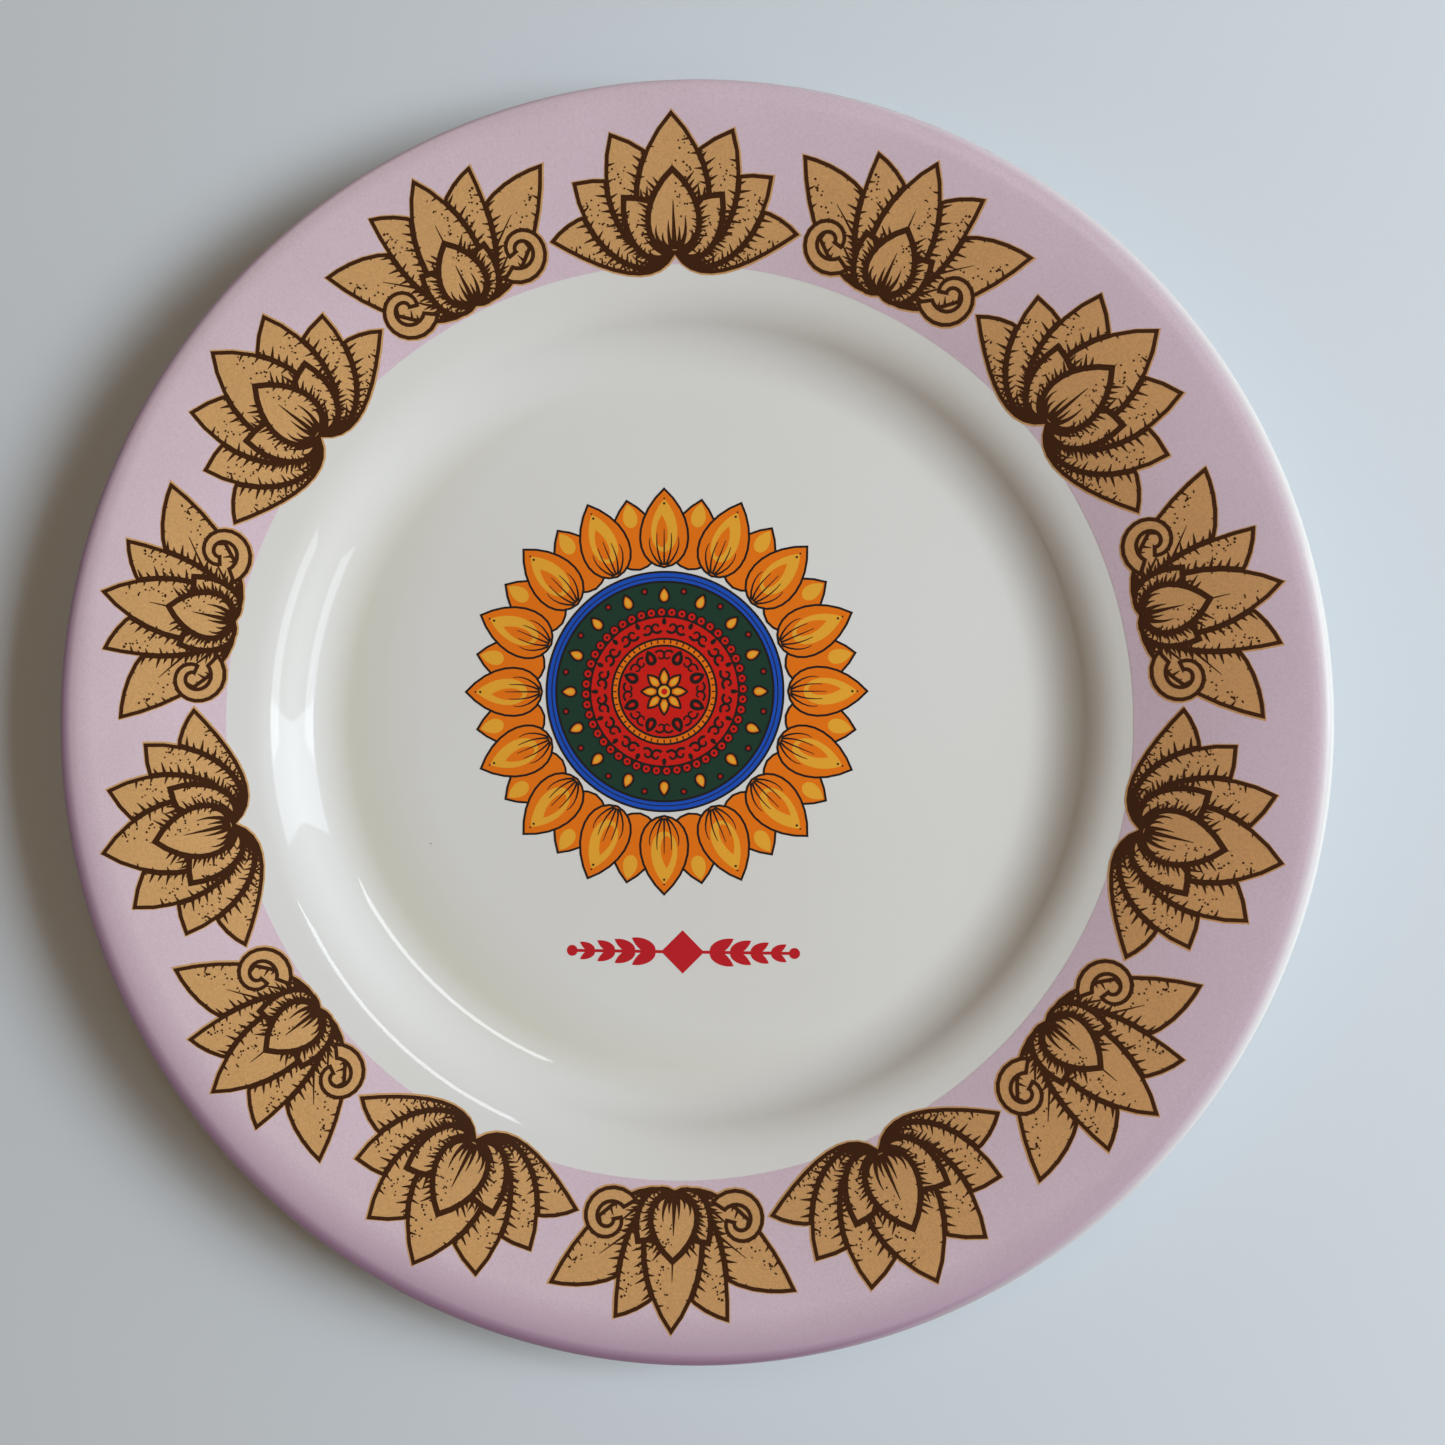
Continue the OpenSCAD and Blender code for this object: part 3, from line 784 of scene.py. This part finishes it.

# Where a look sets in: a circle's middle, x and y, and the two distances from it between which it grows.
# painted bounce light: a band at the foot of the well's wall, on the side away from the first middle
BOUNCE_START = (0.012, 0.005, 0.055, 0.066)
BOUNCE_END = (0, 0, 0.0555, 0.061)
# painted shade, darkest at the lower left of the band's outer part
LILAC_SHADE_FALLS = (0.0021, 0.0045, 0.0962, 0.1045)
# plum lip at the left: piled ink and painted shade
LILAC_LIP_PILE_AND_SHADE = (0.001, 0.0009, 0.0986, 0.1)
# bare glaze where the print falls short of the right edge, painted white there as the window's highlight
LILAC_BARE_LIT_LIP = (-0.0022, 0, 0.0997, 0.1018)


def new_material(name, roughness, specular=0.5):
    material = bpy.data.materials.new(name)
    material.use_nodes = True
    tree = material.node_tree
    shader = tree.nodes["Principled BSDF"]
    shader.inputs["Roughness"].default_value = roughness
    shader.inputs["Specular IOR Level"].default_value = specular
    place = node(tree, "TexCoord").outputs["Object"]
    return material, tree, shader, place


def use_group(tree, group, links):
    return node(tree, "Group", links, node_tree=group)


def bump(tree, shader, height, distance=1.0):
    made = node(tree, "Bump", {"Height": height, "Distance": distance})
    tree.links.new(made.outputs["Normal"], shader.inputs["Normal"])


def mix(tree, share, start, end):
    """The colour between two colours, by a share from 0 to 1."""
    return node(tree, "MixRGB", {"Fac": share, "Color1": start, "Color2": end}).outputs["Color"]


def ramp(tree, value, low, high):
    """A mask that rises from 0 to 1 as a value goes from low to high."""
    made = node(tree, "MapRange", {"Value": value, "From Min": low, "From Max": high})
    return made.outputs["Result"]


def past_circle(tree, place, x, y, start, end):
    """A mask that rises from 0 to 1 between two distances from a point of the plate."""
    flat = node(tree, "VectorMath", {0: place, 1: (1, 1, 0)}, operation="MULTIPLY")
    reach = node(tree, "VectorMath", {0: flat.outputs["Vector"], 1: (x, y, 0)}, operation="DISTANCE")
    return ramp(tree, reach.outputs["Value"], start, end)


def glazed_porcelain(name, speck_share, bounce_tinted=False):
    """White glaze, creamy in places, with a few specks. Bounce-tinted, it carries a painted warm tint of
    bounced light at one side of the well's foot.
    """
    material, tree, shader, place = new_material(name, GLAZE_ROUGHNESS)
    clouds = node(tree, "TexNoise", {"Vector": place, "Scale": 14, "Detail": 2})
    colour = mix(tree, ramp(tree, clouds.outputs["Fac"], 0.4, 0.75), WHITE, CREAM)
    if bounce_tinted:
        # painted warm bounce light at one side of the well's foot
        start = past_circle(tree, place, *BOUNCE_START)
        end = past_circle(tree, place, *BOUNCE_END)
        bounce = node(tree, "Math", {0: start, 1: end}, operation="SUBTRACT", use_clamp=True)
        colour = mix(tree, bounce.outputs[0], colour, BOUNCE_TINT)
    specks = use_group(tree, KILN_SPECKS, {"Vector": place, "Share": speck_share})
    tree.links.new(mix(tree, specks.outputs["Mask"], colour, SPECK), shader.inputs["Base Color"])
    flow = use_group(tree, GLAZE_FLOW, {"Vector": place})
    bump(tree, shader, flow.outputs["Height"])
    return material


def bare_biscuit():
    """Unglazed fired clay, gritty and a little grey where it has stood on shelves."""
    material, tree, shader, place = new_material("bare_biscuit", 0.75, 0.3)
    grit = node(tree, "TexNoise", {"Vector": place, "Scale": 1500, "Detail": 4})
    rubbed = node(tree, "TexNoise", {"Vector": place, "Scale": 60, "Detail": 3})
    clay = mix(tree, ramp(tree, rubbed.outputs["Fac"], 0.45, 0.75), CLAY, RUBBED_CLAY)
    grain = use_group(tree, PRINT_GRAIN, {"Vector": place, "Color": clay, "Grain": 0.35, "Clouds": 0.1})
    tree.links.new(grain.outputs["Color"], shader.inputs["Base Color"])
    bump(tree, shader, grit.outputs["Fac"], 0.00006)
    return material


def sheen_drift(tree, place, left, right):
    """A colour that goes from the plate's left edge to its right one: painted sheen, lighter at the left
    where the window's gloss falls.
    """
    axes = node(tree, "SeparateXYZ", {"Vector": place})
    return mix(tree, ramp(tree, axes.outputs["X"], -PLATE_R * MM, PLATE_R * MM), left, right)


def fired_ink(name, colour, roughness, grain, clouds, right=None, grain_height=0.000002, specular=0.16):
    """A transfer print's ink, softly glossy from the firing, with the grain of its screen."""
    material, tree, shader, place = new_material(name, roughness, specular)
    # right is the colour at the plate's right edge; the ramp to it is painted sheen, lighter at the left
    if right:
        colour = sheen_drift(tree, place, colour, right)
    ink = use_group(tree, PRINT_GRAIN, {"Vector": place, "Color": colour, "Grain": grain, "Clouds": clouds})
    tree.links.new(ink.outputs["Color"], shader.inputs["Base Color"])
    bump(tree, shader, ink.outputs["Height"], grain_height)
    return material


def lilac_band_ink():
    """The band's lilac, off centre, with painted light: a painted sheen makes it lighter at the left,
    painted shade darkens its outer part towards the lower left, and the plum on the lip at the left is
    piled ink and painted shade.
    Where it falls short of the right edge it is glossy bare glaze, painted white there as a highlight."""
    material, tree, shader, place = new_material("lilac_ink", LILAC_ROUGHNESS)
    # painted sheen: lighter at the left
    lilac_with_sheen = sheen_drift(tree, place, LILAC_LEFT_SHEEN, LILAC_RIGHT)
    ink = use_group(tree, PRINT_GRAIN, {"Vector": place, "Color": lilac_with_sheen, "Grain": 0.42, "Clouds": 0.1})
    # painted shade towards the lower left
    lower_left_shade = past_circle(tree, place, *LILAC_SHADE_FALLS)
    # plum lip at the left: piled ink and painted shade
    piled_and_shaded = past_circle(tree, place, *LILAC_LIP_PILE_AND_SHADE)
    # bare glaze at the right lip, painted white as a highlight
    bare_lit_lip = past_circle(tree, place, *LILAC_BARE_LIT_LIP)
    colour = mix(tree, lower_left_shade, ink.outputs["Color"], LILAC_SHADE)
    colour = mix(tree, piled_and_shaded, colour, PLUM)
    colour = mix(tree, bare_lit_lip, colour, WHITE)
    tree.links.new(colour, shader.inputs["Base Color"])
    gloss = node(tree, "MapRange", {"Value": bare_lit_lip, "To Min": LILAC_ROUGHNESS,
                                    "To Max": BARE_LIP_ROUGHNESS})
    tree.links.new(gloss.outputs["Result"], shader.inputs["Roughness"])
    bump(tree, shader, ink.outputs["Height"], 0.000004)
    return material


# the face glaze carries the painted warm bounce light in the well
face_white = glazed_porcelain("face_glaze", 0.05, bounce_tinted=True)
base_white = glazed_porcelain("base_glaze", 0.03)
biscuit_clay = bare_biscuit()
lilac = lilac_band_ink()
# painted sheen: the ochre is lighter at the left, where the window's gloss falls
ochre = fired_ink("ochre_ink", (0.63, 0.355, 0.135, 1), 0.4, 0.75, 0.14,
                  right=(0.5, 0.255, 0.095, 1), specular=0.4)
brown = fired_ink("brown_ink", (0.045, 0.013, 0.002, 1), 0.3, 0.4, 0.3, specular=0.12)
INKS = {
    ORANGE: fired_ink("orange_ink", (0.8, 0.175, 0.003, 1), 0.14, 0.16, 0.1),
    YELLOW: fired_ink("yellow_ink", (0.8, 0.38, 0.03, 1), 0.14, 0.16, 0.1),
    GREEN: fired_ink("green_ink", (0.009, 0.038, 0.021, 1), 0.16, 0.3, 0.15),
    BLUE: fired_ink("blue_ink", (0.008, 0.075, 0.48, 1), 0.14, 0.2, 0.1),
    RED: fired_ink("red_ink", (0.61, 0.01, 0.004, 1), 0.14, 0.16, 0.1),
    LINE: fired_ink("black_ink", (0.011, 0.007, 0.004, 1), 0.12, 0.3, 0.1, grain_height=0.000008),
}
sprig_red = fired_ink("sprig_ink", (0.5, 0.012, 0.018, 1), 0.2, 0.12, 0.08)


# ---- The pieces, each with its node, its slot and its material ----
def finish_piece(piece, cad_node, material):
    piece.data.materials.clear()
    piece.data.materials.append(material)
    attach(piece, "root")
    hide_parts(cad_node)


def print_border():
    """Each kind's ochre is one film, and its many lines are two."""
    pair_turn = 360 / BORDER_PAIRS
    ochre_at = (OCHRE_SLIP[0], MOTIF_R + OCHRE_SLIP[1])
    for kind, drawing, first in (("lotus", lotus(), 0), ("palmette", palmette(), pair_turn / 2)):
        turns = [-first - pair_turn * i for i in range(BORDER_PAIRS)]
        solid = [(OCHRE, PLAIN, [inset(outline, -OCHRE_BLEED, BLUNT) for outline in outlines])
                 for _, edge, outlines in drawing if edge == LINED]
        fills = cut_by_ink(solid, grid=BORDER_GRID)[OCHRE]
        lines = cut_by_ink(drawing, BORDER_LINE_W, BORDER_GRID)[LINE]
        film = print_film(kind + "_ochre", [(fills, turn, ochre_at) for turn in turns], BAND_T, OCHRE_T)
        finish_piece(film, "border_ochre", ochre)
        for part, some in (("lines_a", turns[:4]), ("lines_b", turns[4:])):
            prints = [(lines, turn, (0, MOTIF_R)) for turn in some]
            film = print_film(f"{kind}_{part}", prints, BAND_T + OCHRE_T, INK_T)
            finish_piece(film, "border_brown", brown)


def print_medallion():
    """The colours lie side by side, and the black lines over them."""
    drawing = medallion()
    colours = [(ink, WITHIN if edge == WITHIN else PLAIN, outlines)
               for ink, edge, outlines in drawing if ink != LINE]
    for ink, flat in cut_by_ink(colours).items():
        film = print_film(ink + "_ink_film", [(flat, 0, MEDALLION_AT)], 0, INK_T)
        finish_piece(film, "medallion_" + ink, INKS[ink])
    lines = cut_by_ink(drawing, MEDALLION_LINE_W)[LINE]
    film = print_film("black_line_film", [(lines, 0, MEDALLION_AT)], INK_T, INK_T)
    finish_piece(film, "medallion_black", INKS[LINE])


def print_sprig():
    film = print_film("sprig_leaves", [(cut_by_ink(sprig())[RED], 0, (0, -SPRIG_DROP))], 0, INK_T)
    finish_piece(film, "sprig_red", sprig_red)


finish_piece(make_face_glaze(), "face_glaze", face_white)
finish_piece(make_base_glaze(), "base_glaze", base_white)
finish_piece(make_biscuit(), "body", biscuit_clay)
finish_piece(make_rim_band(), "rim_band", lilac)
print_border()
print_medallion()
print_sprig()


# ---- Stage, light and camera: metres and watts ----
BACKDROP = (0.8, 0.84, 0.87, 1)
BACKDROP_STRENGTH = 0.85
TABLE = (0.645, 0.69, 0.727, 1)
TABLE_W = 6
TABLE_GAP = 0.1 * MM    # keeps the table clear of the foot ring
TABLE_FADE = (0, 0, 0.22, 0.9)      # where the table turns into the backdrop
WARM_FILL = (1.0, 0.58, 0.22, 1)
FILL_STRENGTH = 0.155
DAYLIGHT = (0.83, 0.92, 1.0)
LAMPLIGHT = (0.9, 0.96, 1.0)
SENSOR_W = 36
HALF_VIEW = math.radians(20)
VIEW_LEAN = math.radians(7)
VIEW_DISTANCE = 0.3081
VIEW_SHIFT = 7.85 * MM


def backdrop_rays(tree):
    """1 for rays that show the backdrop: straight from the camera, off gloss and through clear things."""
    path = node(tree, "LightPath")
    seen = node(tree, "Math", {0: path.outputs["Is Camera Ray"], 1: path.outputs["Is Glossy Ray"]},
                operation="MAXIMUM")
    clear = node(tree, "Math", {0: seen.outputs[0], 1: path.outputs["Is Transmission Ray"]},
                 operation="MAXIMUM")
    return clear.outputs[0]


def make_floor():
    """A plain pale floor just under the plate, which fades into the backdrop behind it."""
    bpy.ops.object.select_all(action="DESELECT")
    bpy.ops.mesh.primitive_plane_add(size=TABLE_W, location=(0, 0, -TABLE_GAP))
    floor = bpy.context.object
    floor.name = "floor"
    material, tree, shader, place = new_material("floor_paint", 0.6, 0.3)
    shader.inputs["Base Color"].default_value = TABLE
    far = past_circle(tree, place, *TABLE_FADE)
    haze = node(tree, "Math", {0: far, 1: backdrop_rays(tree)}, operation="MULTIPLY")
    pale = node(tree, "Emission", {"Color": BACKDROP, "Strength": BACKDROP_STRENGTH})
    mixed = node(tree, "MixShader", {0: haze.outputs[0], 1: shader.outputs["BSDF"], 2: pale.outputs[0]})
    tree.links.new(mixed.outputs[0], tree.nodes["Material Output"].inputs["Surface"])
    floor.data.materials.append(material)


def aim_at_plate(item, azimuth, elevation, distance):
    """Puts a lamp at a direction from the plate's middle and turns it to face that."""
    a, e = math.radians(azimuth), math.radians(elevation)
    place = Vector((math.cos(e) * math.cos(a), math.cos(e) * math.sin(a), math.sin(e)))
    item.location = place * distance
    item.rotation_euler = place.to_track_quat("Z", "Y").to_euler()


def softbox(name, azimuth, elevation, distance, size, power, colour, mirrored=True):
    """A soft lamp of a width and a height, which shows as a window in the glaze where it is mirrored."""
    lamp = bpy.data.lights.new(name, "AREA")
    lamp.shape = "RECTANGLE"
    lamp.size, lamp.size_y = size
    lamp.energy = power
    lamp.color = colour
    item = bpy.data.objects.new(name, lamp)
    bpy.context.scene.collection.objects.link(item)
    item.visible_glossy = mirrored
    aim_at_plate(item, azimuth, elevation, distance)


def make_world():
    """The backdrop where it is seen, and a dim warm fill for all other light."""
    world = bpy.data.worlds.new("studio")
    bpy.context.scene.world = world
    world.use_nodes = True
    tree = world.node_tree
    tree.nodes.clear()
    fill = node(tree, "Background", {"Color": WARM_FILL, "Strength": FILL_STRENGTH})
    seen = node(tree, "Background", {"Color": BACKDROP, "Strength": BACKDROP_STRENGTH})
    mixed = node(tree, "MixShader", {0: backdrop_rays(tree), 1: fill.outputs[0], 2: seen.outputs[0]})
    node(tree, "OutputWorld", {"Surface": mixed.outputs[0]})


def make_camera():
    """Looks at the plate from nearly straight above, leaning a little to the right."""
    camera = bpy.data.cameras.new("camera")
    camera.sensor_width = SENSOR_W
    camera.lens = SENSOR_W / 2 / math.tan(HALF_VIEW)
    camera.clip_start = 0.01
    item = bpy.data.objects.new("camera", camera)
    bpy.context.scene.collection.objects.link(item)
    aim = Vector((VIEW_SHIFT, 0, EDGE_MID.z * MM))
    item.location = aim + Vector((math.sin(VIEW_LEAN), 0, math.cos(VIEW_LEAN))) * VIEW_DISTANCE
    item.rotation_euler = (0, VIEW_LEAN, 0)
    bpy.context.scene.camera = item


make_floor()
softbox("window_a", 8.5, 34, 1.3, (0.389, 0.795), 3.0, DAYLIGHT)
softbox("window_b", -13.5, 44.5, 1.3, (0.624, 0.296), 1.7, DAYLIGHT)
softbox("sky", 2, 42, 1.12, (0.45, 0.38), 10.2, DAYLIGHT, mirrored=False)
softbox("top_lamp", 61, 67, 1.2, (0.44, 0.11), 0.95, LAMPLIGHT)
make_world()
make_camera()
bpy.context.scene.view_settings.view_transform = "Standard"
